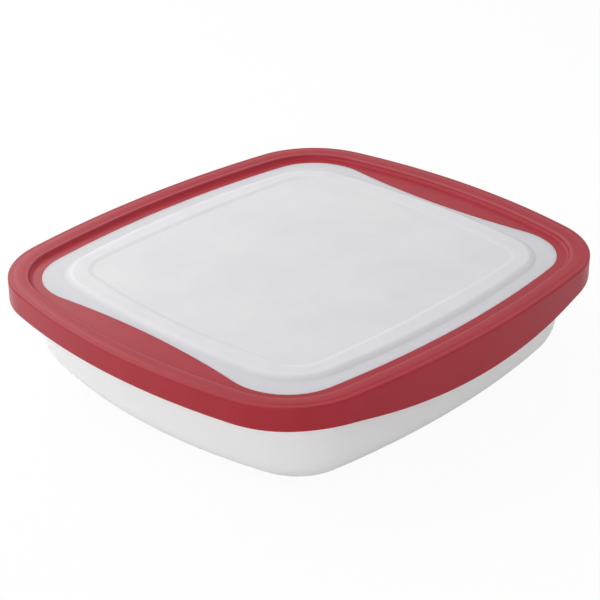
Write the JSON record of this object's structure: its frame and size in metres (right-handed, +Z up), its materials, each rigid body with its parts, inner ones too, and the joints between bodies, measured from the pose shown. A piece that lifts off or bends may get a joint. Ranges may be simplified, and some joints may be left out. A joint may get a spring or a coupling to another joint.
{
  "type": "food storage container",
  "caption": "Shallow rounded-square food keeper: translucent one-piece base and a press-on clear lid with a soft coloured sealing rim.",
  "frame": {"origin": "middle of the foot's flat underside", "axes": "+Z up, +Y towards one of the two sides with a finger lobe on the lid, +X towards one of the two sides with the deep skirt"},
  "size_m": [0.25, 0.2818, 0.06],
  "materials": {
    "base_plastic": "milky translucent polypropylene, satin",
    "panel_plastic": "milky translucent polypropylene, satin",
    "rim_soft_plastic": "soft red thermoplastic elastomer, satin"
  },
  "bodies": {
    "base": {"base": "base_plastic"},
    "lid": {"lid_panel": "panel_plastic", "lid_rim": "rim_soft_plastic"}
  },
  "joints": [
    {"name": "lid_lift", "type": "slide", "parent": "base", "child": "lid", "axis": [0, 0, 1], "range_m": [0, 0.06]}
  ]
}
